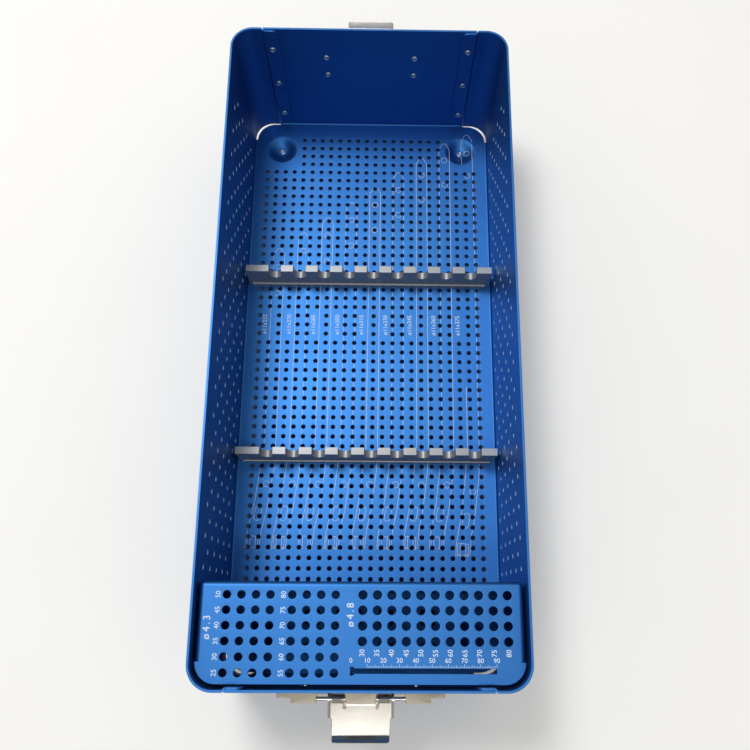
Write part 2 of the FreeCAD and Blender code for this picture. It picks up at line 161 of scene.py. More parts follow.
def add_plate(metal, outline, holes, place):
    """Fill a flat outline round its holes. The function place gives each point's (inside, outside) places."""
    points = []
    edges = []
    loop_numbers = []
    for loop_number, loop in enumerate([outline] + holes):
        start = len(points)
        edges += [(start + step, start + (step + 1) % len(loop)) for step in range(len(loop))]
        points += [Vector(point) for point in loop]
        loop_numbers += [loop_number] * len(loop)
    filled = delaunay_2d_cdt(points, edges, [], 1, same_place / 10)
    numbers = [sheet_point(metal, *place(point.x, point.y)) for point in filled[0]]
    for face in filled[2]:
        corners = [filled[3][corner][0] for corner in face]
        if not fills_hole(corners, loop_numbers):
            metal["faces"].append([numbers[corner] for corner in face])


def round_rims(metal, holes, sides, place):
    """Round the first edge of each (x, y, radius) hole, as the punch draws it in. The cut is wider."""
    for x, y, radius in holes:
        rows = []
        for wider, deeper in ((1, 0), (0.37, 0.37), (0, 1)):
            row = []
            for around in hole(x, y, radius + wider * punch_round, sides):
                inside, outside = (Vector(corner) for corner in place(*around))
                row.append((inside.lerp(outside, deeper * punch_round / sheet), outside))
            rows.append(row + row[:1])
        add_strip(metal, rows)


def closed_sheet(metal):
    """Closed mesh of a sheet: both faces, and a wall along every cut edge and hole."""
    mesh = bmesh.new()
    inner = [mesh.verts.new(place) for place in metal["inner"]]
    outer = [mesh.verts.new(place) for place in metal["outer"]]
    uses = {}
    for face in metal["faces"]:
        mesh.faces.new([inner[number] for number in face])
        mesh.faces.new([outer[number] for number in reversed(face)])
        for start, end in zip(face, face[1:] + face[:1]):
            edge = (min(start, end), max(start, end))
            uses[edge] = uses.get(edge, 0) + 1
    for (start, end), count in uses.items():
        if count == 1:
            mesh.faces.new([inner[start], inner[end], outer[end], outer[start]])
    bmesh.ops.recalc_face_normals(mesh, faces=mesh.faces)
    return mesh


def soften_edges(mesh, width, facet=1.2 * mm):
    """Break the sharp edges that are longer than a hole's facet, as deburring does."""
    sharp_angle = 1.0
    joined = [edge for edge in mesh.edges if len(edge.link_faces) == 2]
    sharp = [edge for edge in joined if edge.calc_face_angle() > sharp_angle and edge.calc_length() > facet]
    bmesh.ops.bevel(
        mesh, geom=sharp, offset=width, segments=2, profile=0.5, affect="EDGES", clamp_overlap=True
    )


def piece(name, mesh, material):
    """Blender object from a mesh, smooth over its bends and crisp along its edges."""
    crease = math.radians(32)
    bmesh.ops.recalc_face_normals(mesh, faces=mesh.faces)
    for face in mesh.faces:
        face.smooth = True
    for edge in mesh.edges:
        edge.smooth = len(edge.link_faces) == 2 and edge.calc_face_angle(0) < crease
    data = bpy.data.meshes.new(name)
    mesh.to_mesh(data)
    mesh.free()
    made = bpy.data.objects.new(name, data)
    bpy.context.scene.collection.objects.link(made)
    made.data.materials.append(material)
    weighted = made.modifiers.new("flat faces stay flat", "WEIGHTED_NORMAL")
    weighted.keep_sharp = True
    return made


def add_node(tree, kind, links=None, **settings):
    """Add a shader node with its settings, and link or set its inputs."""
    node = tree.nodes.new(kind)
    for setting, value in settings.items():
        setattr(node, setting, value)
    for socket, source in (links or {}).items():
        if isinstance(source, bpy.types.NodeSocket):
            tree.links.new(source, node.inputs[socket])
        else:
            node.inputs[socket].default_value = source
    return node


def linear(colour):
    """Linear red, green, blue and alpha of an sRGB hex colour such as 2F7DE0."""
    values = []
    for start in (0, 2, 4):
        share = int(colour[start:start + 2], 16) / 255
        values.append(share / 12.92 if share <= 0.04045 else ((share + 0.055) / 1.055) ** 2.4)
    return (*values, 1.0)


def new_material(name):
    """Empty material and its node tree."""
    material = bpy.data.materials.new(name)
    material.use_nodes = True
    material.node_tree.nodes.clear()
    return material, material.node_tree


# Anodised aluminium, dyed blue: the blasted sheet under the clear oxide gives a satin sheen with a soft and
# broad highlight. The blast grain is about 0.1 mm, too fine to show, so it is drawn at 0.5 mm.
blue_anodised, tree = new_material("anodised_aluminium_blue_satin")
place = add_node(tree, "ShaderNodeTexCoord")
at = place.outputs["Object"]
cloud = add_node(tree, "ShaderNodeTexNoise", {"Vector": at, "Scale": 1 / (60 * mm), "Detail": 3.0})
grain = add_node(tree, "ShaderNodeTexNoise", {"Vector": at, "Scale": 1 / (0.5 * mm), "Detail": 2.0})
shades = {0: cloud.outputs["Fac"], 6: linear("356DAE"), 7: linear("3A74B7")}
tint = add_node(tree, "ShaderNodeMix", shades, data_type="RGBA")
gloss = add_node(tree, "ShaderNodeMapRange", {"Value": cloud.outputs["Fac"], "To Min": 0.44, "To Max": 0.52})
blasting = {"Height": grain.outputs["Fac"], "Strength": 0.08, "Distance": 0.05 * mm}
relief = add_node(tree, "ShaderNodeBump", blasting)
surface = add_node(
    tree,
    "ShaderNodeBsdfPrincipled",
    {
        "Base Color": tint.outputs[2],
        "Metallic": 1.0,
        "Roughness": gloss.outputs["Result"],
        "Normal": relief.outputs["Normal"],
    },
)
add_node(tree, "ShaderNodeOutputMaterial", {"Surface": surface.outputs["BSDF"]})

# Punched edge: the punch shears the sheet, so the wall of each hole in the side walls is rough and nearly
# matt.
# Its pale colour is painted light, a painted highlight for the light seen through the holes. The shear marks
# are about 0.05 mm, drawn at 0.3 mm.
punched_edge, tree = new_material("anodised_aluminium_sheared_painted_highlight")
place = add_node(tree, "ShaderNodeTexCoord")
shear = add_node(tree, "ShaderNodeTexNoise", {"Vector": place.outputs["Object"], "Scale": 1 / (0.3 * mm)})
shades = {0: shear.outputs["Fac"], 6: linear("8FAED6"), 7: linear("A9C2E2")}
tint = add_node(tree, "ShaderNodeMix", shades, data_type="RGBA")
surface = add_node(
    tree, "ShaderNodeBsdfPrincipled", {"Base Color": tint.outputs[2], "Metallic": 0.2, "Roughness": 0.65}
)
add_node(tree, "ShaderNodeOutputMaterial", {"Surface": surface.outputs["BSDF"]})

tub_metal = new_sheet()
round_corner = arc((fold_x - base_corner, fold_y - base_corner), base_corner, 0, 90, 12)
base_outline = both_halves(round_corner + [(panel_half, fold_y)])
base_outline += [(-x, -y) for x, y in base_outline]
base_holes = []
for row in range(base_rows):
    for column in range(base_columns):
        beside_end = row < dish_block or row >= base_rows - dish_block
        beside_wall = column < dish_block or column >= base_columns - dish_block
        on_label = row in label_rows and column in label_columns
        if (beside_end and beside_wall) or on_label:
            continue
        x = (column - (base_columns - 1) / 2) * base_pitch
        y = base_last_row - row * base_pitch
        base_holes.append((x, y))


def base_place(x, y):
    """Places of a point of the base on its upper and lower face."""
    return (x, y, base_top), (x, y, base_under)


base_cuts = [hole(x, y, base_hole + punch_round) for x, y in base_holes]
dish_places = [(dish_x * side, dish_y * end) for side in (-1, 1) for end in (-1, 1)]
base_cuts += [hole(x, y, dish_radius, dish_sides) for x, y in dish_places]
add_plate(tub_metal, base_outline, base_cuts, base_place)
round_rims(tub_metal, [(x, y, base_hole) for x, y in base_holes], hole_sides, base_place)


def dish_drop(radius):
    """Depth of a foot's dish at the radius: a cone with a soft rim round a small flat floor."""
    share = min(max((dish_radius - radius) / (dish_radius - dish_floor), 0), 1)
    return dish_depth * (share - dish_softness * math.sin(2 * math.pi * share) / (2 * math.pi))


dish_rings = [dish_radius + (dish_floor - dish_radius) * step / dish_steps for step in range(dish_steps + 1)]
for x, y in dish_places:
    rows = []
    for radius in dish_rings + [rivet_bore]:
        loop = hole(x, y, radius, dish_sides)
        z = base_top - dish_drop(radius)
        rows.append([((px, py, z), (px, py, z - sheet)) for px, py in loop + loop[:1]])
    add_strip(tub_metal, rows)


def fold_rows(place, steps=6):
    """Rows of a right-angle fold. The function place takes (outward, downward) shares of the fold radius."""
    rows = []
    for step in range(steps + 1):
        angle = math.radians(90 * step / steps)
        rows.append(place(math.sin(angle), math.cos(angle)))
    return rows


for side in (-1, 1):

    def side_fold(out, down):
        """Row along the fold between the base and this side wall."""
        inside = (side * (fold_x + fold_inside * out), wall_foot - fold_inside * down)
        outside = (side * (fold_x + fold_outside * out), wall_foot - fold_outside * down)
        return [((inside[0], y, inside[1]), (outside[0], y, outside[1])) for y in (-wall_end, wall_end)]

    add_strip(tub_metal, fold_rows(side_fold))

    half_wall = [(wall_end, wall_foot), (wall_end, base_under), (roll_y, base_under), (roll_y, rim)]
    wall_outline = both_halves(half_wall)
    wall_holes = []
    for number in range(wall_columns):
        column = number - wall_columns // 2
        rows = wall_rows - column % 2
        for row in range(rows):
            z = wall_first_z + wall_pitch_z * (row + (wall_rows - rows) / 2)
            wall_holes.append((column * wall_pitch_y, z, wall_hole))

    def wall_place(y, z):
        """Places of a point of this side wall on its inner and outer face."""
        return (side * inner_x, y, z), (side * half_width, y, z)

    wall_cuts = [hole(y, z, radius + punch_round) for y, z, radius in wall_holes]
    add_plate(tub_metal, wall_outline, wall_cuts, wall_place)
    round_rims(tub_metal, wall_holes, hole_sides, wall_place)

for end in (-1, 1):

    def end_fold(out, down):
        """Row along the fold between the base and this end panel."""
        inside = (end * (fold_y + fold_inside * out), wall_foot - fold_inside * down)
        outside = (end * (fold_y + fold_outside * out), wall_foot - fold_outside * down)
        return [((x, inside[0], inside[1]), (x, outside[0], outside[1])) for x in (-panel_half, panel_half)]

    add_strip(tub_metal, fold_rows(end_fold))
    panel_outline = [(-panel_half, wall_foot), (panel_half, wall_foot), (panel_half, rim), (-panel_half, rim)]
    add_plate(tub_metal, panel_outline, [], lambda x, z: ((x, end * inner_y, z), (x, end * half_length, z)))

    for side in (-1, 1):
        plan = []
        for step in range(roll_steps + 1):
            angle = math.radians(90 * step / roll_steps)
            across, along = math.cos(angle), math.sin(angle)
            inside = (roll_x + roll_inside * across, roll_y + roll_inside * along)
            outside = (roll_x + roll_outside * across, roll_y + roll_outside * along)
            plan.append((inside, outside))
        plan.append(((joggle_x, inner_y), (joggle_x, half_length)))
        plan.append(((panel_half, flange_y), (panel_half, inner_y)))
        rows = []
        for inside, outside in plan:
            near = (side * inside[0], end * inside[1])
            far = (side * outside[0], end * outside[1])
            rows.append([((*near, z), (*far, z)) for z in (base_under, rim)])
        add_strip(tub_metal, rows)
        low_round = arc((flange_edge + flange_round, flange_low + flange_round), flange_round, 270, 180, 5)
        high_round = arc((flange_edge + flange_round, flange_high - flange_round), flange_round, 180, 90, 5)
        flange = [(panel_half, rim), (panel_half, base_under), (lap_x, base_under), (lap_x, flange_low)]
        flange += low_round + high_round + [(lap_x, flange_high), (lap_x, rim)]
        flange_outline = [(side * x, z) for x, z in flange]
        if side > 0:
            flange_outline.reverse()
        add_plate(tub_metal, flange_outline, [], lambda x, z: ((x, end * flange_y, z), (x, end * inner_y, z)))


def is_punched(face):
    """True for a face inside a hole of a side wall, which lies away from the rim and the corners."""
    in_side_wall = min(abs(corner.co.x) for corner in face.verts) > inner_x - 10 * same_place
    below_rim = max(corner.co.z for corner in face.verts) < rim - rim_band
    before_corner = abs(face.calc_center_median().y) < wall_end
    return in_side_wall and below_rim and before_corner and abs(face.normal.x) < 0.5


tub_mesh = closed_sheet(tub_metal)
soften_edges(tub_mesh, width=0.3 * mm)
for face in tub_mesh.faces:
    # Faces inside the side walls' holes take the pale material, a painted highlight.
    if is_punched(face):
        face.material_index = 1
tub = piece("tub", tub_mesh, blue_anodised)
tub.data.materials.append(punched_edge)
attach(tub, "tub")
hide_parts("tub_body")

# Rivets
# Twelve tubular aluminium rivets hold the corner flanges to the end panels, three at each corner, and one
# holds each foot in its dish. The inner side shows a rolled ring round a hollow, the outer side a low dome.
shank = 1.6 * mm
head = 2.7 * mm
head_height = 0.9 * mm
hollow_depth = 0.2 * mm


def turned(mesh, profile, start, direction, sides=24):
    """Add a turned form to the mesh: (distance, radius) pairs along the direction from its start."""
    axis = Vector(direction).normalized()
    side = axis.orthogonal().normalized()
    other = axis.cross(side)
    rings = []
    for distance, radius in profile:
        middle = Vector(start) + axis * distance
        if radius == 0:
            rings.append([mesh.verts.new(middle)])
            continue
        ring = []
        for step in range(sides):
            angle = 2 * math.pi * step / sides
            ring.append(mesh.verts.new(middle + (side * math.cos(angle) + other * math.sin(angle)) * radius))
        rings.append(ring)
    for low, high in zip(rings, rings[1:]):
        for step in range(sides):
            ahead = (step + 1) % sides
            corners = [low[step % len(low)], low[ahead % len(low)]]
            corners += [high[ahead % len(high)], high[step % len(high)]]
            mesh.faces.new(list(dict.fromkeys(corners)))


def tubular_rivet(mesh, start, direction, stack):
    """Rivet through a stack of sheets, from the inner face outward: a rolled ring, a shank and a low dome."""
    profile = [(hollow_depth, 0), (hollow_depth, 0.35 * head), (-0.7 * head_height, 0.4 * head)]
    profile += [(-head_height, 0.55 * head), (-0.95 * head_height, 0.75 * head)]
    profile += [(-0.5 * head_height, 0.95 * head), (0, head), (0, shank), (stack, shank), (stack, head)]
    profile += [(stack + 0.35 * head_height, 0.95 * head), (stack + 0.8 * head_height, 0.6 * head)]
    profile.append((stack + head_height, 0))
    turned(mesh, profile, start, direction)


# Bright aluminium: the rivets are formed by the setting tool, so they are smooth, with fine circular marks.
# The marks are about 0.05 mm, drawn at 0.3 mm.
rivet_aluminium, tree = new_material("aluminium_bright_formed")
place = add_node(tree, "ShaderNodeTexCoord")
at = place.outputs["Object"]
marks = add_node(tree, "ShaderNodeTexNoise", {"Vector": at, "Scale": 1 / (0.3 * mm), "Detail": 2.0})
shades = {0: marks.outputs["Fac"], 6: linear("C6C8CA"), 7: linear("E2E3E4")}
tint = add_node(tree, "ShaderNodeMix", shades, data_type="RGBA")
forming = {"Height": marks.outputs["Fac"], "Strength": 0.15, "Distance": 0.03 * mm}
relief = add_node(tree, "ShaderNodeBump", forming)
surface = add_node(
    tree,
    "ShaderNodeBsdfPrincipled",
    {"Base Color": tint.outputs[2], "Metallic": 1.0, "Roughness": 0.32, "Normal": relief.outputs["Normal"]},
)
add_node(tree, "ShaderNodeOutputMaterial", {"Surface": surface.outputs["BSDF"]})

corner_rivet_x = panel_half - 4.8 * mm
corner_rivet_levels = (base_top + 18.5 * mm, base_top + 61.0 * mm, rim - 22.2 * mm)
corner_mesh = bmesh.new()
for side in (-1, 1):
    for end in (-1, 1):
        for level in corner_rivet_levels:
            tubular_rivet(corner_mesh, (side * corner_rivet_x, end * flange_y, level), (0, end, 0), 2 * sheet)
corner_rivets = piece("corner_rivet_set", corner_mesh, rivet_aluminium)
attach(corner_rivets, "tub")
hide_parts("corner_rivets")

foot_mesh = bmesh.new()
dish_floor_z = base_top - dish_depth
foot_stack = dish_floor_z - 2 * head_height
for x, y in dish_places:
    tubular_rivet(foot_mesh, (x, y, dish_floor_z), (0, 0, -1), foot_stack)
foot_rivets = piece("foot_rivet_set", foot_mesh, rivet_aluminium)
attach(foot_rivets, "tub")
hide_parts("foot_rivets")

# Feet
# Four moulded silicone rubber pads under the dishes, each with a recess below that hides its rivet.
# They keep the base off the table, so that steam and water pass under it.
pad_radius = 9.0 * mm
pad_recess = 3.0 * mm
pad_round = 0.9 * mm
pad_height = dish_floor_z - sheet
recess_edge = 0.3 * mm
pad_edge = 0.4 * mm

# Silicone rubber: moulded in a fine-blasted tool, so it is matt with a faint sheen and a grain of 0.2 mm,
# drawn at 0.4 mm.
silicone, tree = new_material("silicone_rubber_moulded")
place = add_node(tree, "ShaderNodeTexCoord")
at = place.outputs["Object"]
skin = add_node(tree, "ShaderNodeTexNoise", {"Vector": at, "Scale": 1 / (0.4 * mm), "Detail": 3.0})
shades = {0: skin.outputs["Fac"], 6: linear("2A2B2D"), 7: linear("36373A")}
tint = add_node(tree, "ShaderNodeMix", shades, data_type="RGBA")
moulding = {"Height": skin.outputs["Fac"], "Strength": 0.3, "Distance": 0.05 * mm}
relief = add_node(tree, "ShaderNodeBump", moulding)
surface = add_node(
    tree,
    "ShaderNodeBsdfPrincipled",
    {"Base Color": tint.outputs[2], "Roughness": 0.62, "Normal": relief.outputs["Normal"]},
)
add_node(tree, "ShaderNodeOutputMaterial", {"Surface": surface.outputs["BSDF"]})

for x, y in dish_places:
    pad_mesh = bmesh.new()
    profile = [(pad_height, rivet_bore), (2 * head_height, rivet_bore), (2 * head_height, pad_recess)]
    profile += [(recess_edge, pad_recess), (0, pad_recess + recess_edge)]
    rounding = arc((pad_radius - pad_round, 0), pad_round, 90, 0, 5)
    profile += [(pad_round - drop, radius) for radius, drop in rounding]
    profile += [(pad_height - pad_edge, pad_radius), (pad_height, pad_radius - pad_edge)]
    profile.append((pad_height, rivet_bore))
    turned(pad_mesh, profile, (x, y, 0), (0, 0, 1), 48)
    bmesh.ops.remove_doubles(pad_mesh, verts=pad_mesh.verts, dist=same_place)
    node = ("near_" if y < 0 else "far_") + ("left_foot" if x < 0 else "right_foot")
    pad = piece(node + "_pad", pad_mesh, silicone)
    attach(pad, "tub")
    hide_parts(node)

# Slotted brackets
# Two extruded aluminium bars, clear anodised, with nine milled slots that carry the nails' shafts.
# Each stands on a coved foot and is screwed down from below.
bracket_low, bracket_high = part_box("near_bracket")
bracket_half = bracket_high.x
bracket_base = bracket_low.z
bracket_height = bracket_high.z - bracket_base
foot_reach = 1.8 * mm
foot_height = 5.6 * mm
foot_inset = 3.0 * mm
slot_pitch = 20.24 * mm
slot_half = 4.85 * mm
slot_bottom = 15.0 * mm
slot_middle = 3.3 * mm
slot_count = 9
slot_round = 0.5 * mm
cove = 1.2 * mm
nose = foot_reach - cove
foot_overlap = 0.3 * mm

# Clear anodised aluminium extrusion: fine die lines run along the bar, under a satin oxide. The lines are
# 0.1 mm apart, drawn at 0.4 mm.
grey_aluminium, tree = new_material("anodised_aluminium_extruded")
place = add_node(tree, "ShaderNodeTexCoord")
stretch = add_node(tree, "ShaderNodeMapping", {"Vector": place.outputs["Object"], "Scale": (0.02, 1.0, 1.0)})
at = stretch.outputs["Vector"]
lines = add_node(tree, "ShaderNodeTexNoise", {"Vector": at, "Scale": 1 / (0.4 * mm), "Detail": 3.0})
shades = {0: lines.outputs["Fac"], 6: linear("8F9194"), 7: linear("A2A4A7")}
tint = add_node(tree, "ShaderNodeMix", shades, data_type="RGBA")
gloss = add_node(tree, "ShaderNodeMapRange", {"Value": lines.outputs["Fac"], "To Min": 0.38, "To Max": 0.5})
die_lines = {"Height": lines.outputs["Fac"], "Strength": 0.1, "Distance": 0.04 * mm}
relief = add_node(tree, "ShaderNodeBump", die_lines)
surface = add_node(
    tree,
    "ShaderNodeBsdfPrincipled",
    {
        "Base Color": tint.outputs[2],
        "Metallic": 0.6,
        "Roughness": gloss.outputs["Result"],
        "Normal": relief.outputs["Normal"],
    },
)
add_node(tree, "ShaderNodeOutputMaterial", {"Surface": surface.outputs["BSDF"]})


def block(mesh, outline, holes, place):
    """Add a closed block to the mesh: a flat outline with holes, pushed between each point's two places."""
    metal = new_sheet()
    add_plate(metal, outline, holes, place)
    solid = closed_sheet(metal)
    data = bpy.data.meshes.new("block")
    solid.to_mesh(data)
    solid.free()
    mesh.from_mesh(data)
    bpy.data.meshes.remove(data)


comb = [(-bracket_half, 0), (bracket_half, 0), (bracket_half, bracket_height)]
for number in reversed(range(slot_count)):
    slot_x = slot_middle + slot_pitch * (number - (slot_count - 1) / 2)
    right = slot_x + slot_half
    left = slot_x - slot_half
    comb += arc((right + slot_round, bracket_height - slot_round), slot_round, 90, 180, 3)
    comb += arc((slot_x, slot_bottom + slot_half), slot_half, 0, -180, 16)
    comb += arc((left - slot_round, bracket_height - slot_round), slot_round, 0, 90, 3)
comb.append((-bracket_half, bracket_height))
foot_profile = [(-foot_reach, 0), (foot_overlap, 0), (foot_overlap, foot_height)]
foot_profile += arc((-cove, foot_height), cove, 0, -90, 6)
foot_profile += arc((-cove, foot_height - cove - nose), nose, 90, 180, 4)[1:]
for end in ("near", "far"):
    low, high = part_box(end + "_bracket")
    front = low.y + foot_reach
    back = high.y
    bracket_mesh = bmesh.new()
    block(bracket_mesh, comb, [], lambda x, z: ((x, front, z + low.z), (x, back, z + low.z)))
    foot_x = bracket_half - foot_inset
    block(
        bracket_mesh,
        foot_profile,
        [],
        lambda y, z: ((-foot_x, y + front, z + low.z), (foot_x, y + front, z + low.z)),
    )
    soften_edges(bracket_mesh, width=0.2 * mm, facet=0.3 * mm)
    bracket = piece(end + "_slotted_bar", bracket_mesh, grey_aluminium)
    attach(bracket, "tub")
    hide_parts(end + "_bracket")

# Bracket screws
# Two stainless pan-head screws come up through the base into each bar and hold it down.
# Each head has a round recess for its driver.
screw_radius = 1.5 * mm
screw_tip = 0.5 * mm
screw_head = 2.8 * mm
screw_head_height = 1.6 * mm
screw_head_round = 0.8 * mm
socket = 0.9 * mm
socket_edge = 0.2 * mm

# Stainless steel, type 304: polished after stamping, with faint brushed lines. It mirrors the room softly and
# looks warm grey. The lines are about 0.1 mm apart, drawn at 0.35 mm.
stainless, tree = new_material("stainless_steel_polished")
place = add_node(tree, "ShaderNodeTexCoord")
stretch = add_node(tree, "ShaderNodeMapping", {"Vector": place.outputs["Object"], "Scale": (0.05, 1.0, 1.0)})
at = stretch.outputs["Vector"]
lines = add_node(tree, "ShaderNodeTexNoise", {"Vector": at, "Scale": 1 / (0.35 * mm), "Detail": 2.0})
shades = {0: lines.outputs["Fac"], 6: linear("B9B5AC"), 7: linear("CAC6BE")}
tint = add_node(tree, "ShaderNodeMix", shades, data_type="RGBA")
gloss = add_node(tree, "ShaderNodeMapRange", {"Value": lines.outputs["Fac"], "To Min": 0.16, "To Max": 0.26})
brushing = {"Height": lines.outputs["Fac"], "Strength": 0.08, "Distance": 0.03 * mm}
relief = add_node(tree, "ShaderNodeBump", brushing)
surface = add_node(
    tree,
    "ShaderNodeBsdfPrincipled",
    {
        "Base Color": tint.outputs[2],
        "Metallic": 1.0,
        "Roughness": gloss.outputs["Result"],
        "Normal": relief.outputs["Normal"],
    },
)
add_node(tree, "ShaderNodeOutputMaterial", {"Surface": surface.outputs["BSDF"]})

for end in ("near", "far"):
    low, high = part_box(end + "_bracket_screws")
    screw_y = (low.y + high.y) / 2
    screw_x = high.x - screw_head
    head_under = base_under - screw_head_height
    screw_length = high.z - head_under
    profile = [(socket, 0), (socket, socket), (socket_edge / 2, socket), (0, socket + socket_edge)]
    profile += [(0, 0.75 * screw_head), (0.375 * screw_head_round, 0.93 * screw_head)]
    profile += [(screw_head_round, screw_head), (screw_head_height, screw_head)]
    profile += [(screw_head_height, screw_radius), (screw_length - screw_tip, screw_radius)]
    profile += [(screw_length, 0.6 * screw_radius), (screw_length, 0)]
    screw_mesh = bmesh.new()
    for side in (-1, 1):
        turned(screw_mesh, profile, (side * screw_x, screw_y, head_under), (0, 0, 1))
    screws = piece(end + "_pan_head_screws", screw_mesh, stainless)
    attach(screws, "tub")
    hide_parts(end + "_bracket_screws")

# Screw rack
# A lift-out cover of blue anodised sheet, folded down on three sides. Its top has three groups of screw
# holes, and a slot with a wider head end that gauges a screw's length against the scale beside it.
rack_low, rack_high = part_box("screw_rack")
rack_half = rack_high.x
rack_fold_inside = 1.5 * mm
rack_fold_outside = rack_fold_inside + sheet
rack_flat_x = rack_half - rack_fold_outside
rack_far = rack_high.y - rack_fold_outside
rack_near = rack_low.y
rack_top = rack_high.z
rack_corner = 13.0 * mm
corner_relief = 0.3 * mm
rack_pitch_x = 9.09 * mm
rack_pitch_y = 9.26 * mm
rack_hole_sides = 28
# Each group of holes: gap from the edge or from the group before, columns, rows and diameter, in millimetres.
hole_groups = ((17.5, 4, 6, 5.0), (13.63, 4, 6, 5.0), (17.13, 11, 4, 5.5))
first_row_y = rack_high.y - 8.3 * mm
gauge_start = -6.5 * mm
gauge_end = 83.9 * mm
gauge_y = rack_near + 7.8 * mm
gauge_half = 1.55 * mm
gauge_head_end = gauge_start + 2.7 * mm
gauge_head_half = 2.55 * mm
gauge_slope_start = gauge_head_end - 0.8 * mm
skirt_end = rack_near + rack_corner + corner_relief

rack_metal = new_sheet()
half_top = arc((rack_half - rack_corner, rack_near + rack_corner), rack_corner, 270, 360, 12)
half_top += [(rack_flat_x, rack_near + rack_corner), (rack_flat_x, skirt_end), (rack_flat_x, rack_far)]
rack_outline = both_halves(half_top)
rack_holes = []
first_columns = []
group_x = -rack_half
for gap, columns, rows, diameter in hole_groups:
    group_x += gap * mm
    first_columns.append(group_x)
    for column in range(columns):
        for row in range(rows):
            hole_x = group_x + column * rack_pitch_x
            rack_holes.append((hole_x, first_row_y - row * rack_pitch_y, diameter / 2 * mm))
    group_x += (columns - 1) * rack_pitch_x
rack_cuts = [hole(x, y, radius + punch_round, rack_hole_sides) for x, y, radius in rack_holes]
gauge_cut = [(gauge_start, gauge_y - gauge_head_half), (gauge_start, gauge_y + gauge_head_half)]
gauge_cut += [(gauge_slope_start, gauge_y + gauge_head_half), (gauge_head_end, gauge_y + gauge_half)]
gauge_cut += [(gauge_end, gauge_y + gauge_half), (gauge_end, gauge_y - gauge_half)]
gauge_cut += [(gauge_head_end, gauge_y - gauge_half), (gauge_slope_start, gauge_y - gauge_head_half)]
rack_cuts.append(gauge_cut)


def rack_place(x, y):
    """Places of a point of the rack's top on its upper and lower face."""
    return (x, y, rack_top), (x, y, rack_top - sheet)


add_plate(rack_metal, rack_outline, rack_cuts, rack_place)
round_rims(rack_metal, rack_holes, rack_hole_sides, rack_place)

edge_run = [((rack_flat_x, skirt_end), 0)]
edge_run += [((rack_flat_x, rack_far), angle) for angle in range(0, 91, 15)]
edge_run += [((-rack_flat_x, rack_far), angle) for angle in range(90, 181, 15)]
edge_run += [((-rack_flat_x, skirt_end), 180)]


def skirt_row(turn, fall=0.0):
    """Row round the three folded sides, where the fold has turned by degrees, and that far down the skirt."""
    row = []
    for (x, y), heading in edge_run:
        across, along = math.cos(math.radians(heading)), math.sin(math.radians(heading))
        places = []
        for radius in (rack_fold_outside, rack_fold_inside):
            out = radius * math.sin(math.radians(turn))
            z = rack_top - rack_fold_outside + radius * math.cos(math.radians(turn)) - fall
            places.append((x + across * out, y + along * out, z))
        row.append(tuple(places))
    return row


skirt_fall = rack_top - rack_fold_outside - rack_low.z
add_strip(rack_metal, [skirt_row(turn) for turn in range(0, 91, 15)] + [skirt_row(90, skirt_fall)])
rack_mesh = closed_sheet(rack_metal)
soften_edges(rack_mesh, width=0.25 * mm)
rack = piece("rack_cover", rack_mesh, blue_anodised)
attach(rack, "rack")
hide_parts("screw_rack")

# Rack markings
# Plain numbers and a millimetre scale, marked by laser: screw lengths beside each row and column of holes,
# the holes' screw diameters, and the gauge's scale from 0 to 90.
mark_lift = 0.03 * mm
mark_depth = 0.02 * mm
capital_share = 0.69
row_figures = 3.0 * mm
row_figures_left = 5.3 * mm
column_figures = 3.1 * mm
column_figures_drop = 34.5 * mm
group_figures = 4.4 * mm
group_spacing = 1.35
scale_figures = 2.8 * mm
scale_pitch = 10.0 * mm
scale_zero = gauge_end - 9 * scale_pitch
scale_figures_y = gauge_y + 6.1 * mm
tick_start = gauge_y + 1.9 * mm
tick_width = 0.2 * mm
long_tick = 2.4 * mm
middle_tick = 1.7 * mm
short_tick = 1.1 * mm

# Laser mark: the beam bleaches the dye in the oxide, so the mark is near white, matt and slightly uneven.
# The beam's spots are 0.05 mm apart, drawn at 0.3 mm.
laser_mark, tree = new_material("laser_mark_bleached")
place = add_node(tree, "ShaderNodeTexCoord")
at = place.outputs["Object"]
spots = add_node(tree, "ShaderNodeTexNoise", {"Vector": at, "Scale": 1 / (0.3 * mm), "Detail": 2.0})
shades = {0: spots.outputs["Fac"], 6: linear("C9DBEE"), 7: linear("EEF4FA")}
tint = add_node(tree, "ShaderNodeMix", shades, data_type="RGBA")
surface = add_node(tree, "ShaderNodeBsdfPrincipled", {"Base Color": tint.outputs[2], "Roughness": 0.6})
add_node(tree, "ShaderNodeOutputMaterial", {"Surface": surface.outputs["BSDF"]})


def add_label(mesh, words, x, y, z, height, turn=0, spacing=1.0):
    """Add figures to the mesh, laid flat with their middle at x and y, turned by degrees."""
    font = bpy.data.curves.new("label", "FONT")
    font.body = words
    font.size = height / capital_share
    font.space_character = spacing
    font.align_x = "CENTER"
    font.align_y = "CENTER"
    font.extrude = mark_depth / 2
    font.resolution_u = 3
    carrier = bpy.data.objects.new("label", font)
    bpy.context.scene.collection.objects.link(carrier)
    bpy.context.view_layer.update()
    data = bpy.data.meshes.new_from_object(carrier)
    data.transform(Matrix.Translation((x, y, z)) @ Matrix.Rotation(math.radians(turn), 4, "Z"))
    mesh.from_mesh(data)
    bpy.data.objects.remove(carrier)
    bpy.data.curves.remove(font)
    bpy.data.meshes.remove(data)


def add_bar(mesh, start, end, width):
    """Add a thin straight mark to the mesh, from start to end."""
    along = Vector(end) - Vector(start)
    aside = Vector((-along.y, along.x, 0)).normalized() * (width / 2)
    thick = Vector((0, 0, mark_depth / 2))
    corners = [Vector(start) - aside, Vector(end) - aside, Vector(end) + aside, Vector(start) + aside]
    low = [mesh.verts.new(corner - thick) for corner in corners]
    high = [mesh.verts.new(corner + thick) for corner in corners]
    mesh.faces.new(high)
    mesh.faces.new(low[::-1])
    for step in range(4):
        ahead = (step + 1) % 4
        mesh.faces.new([low[step], low[ahead], high[ahead], high[step]])


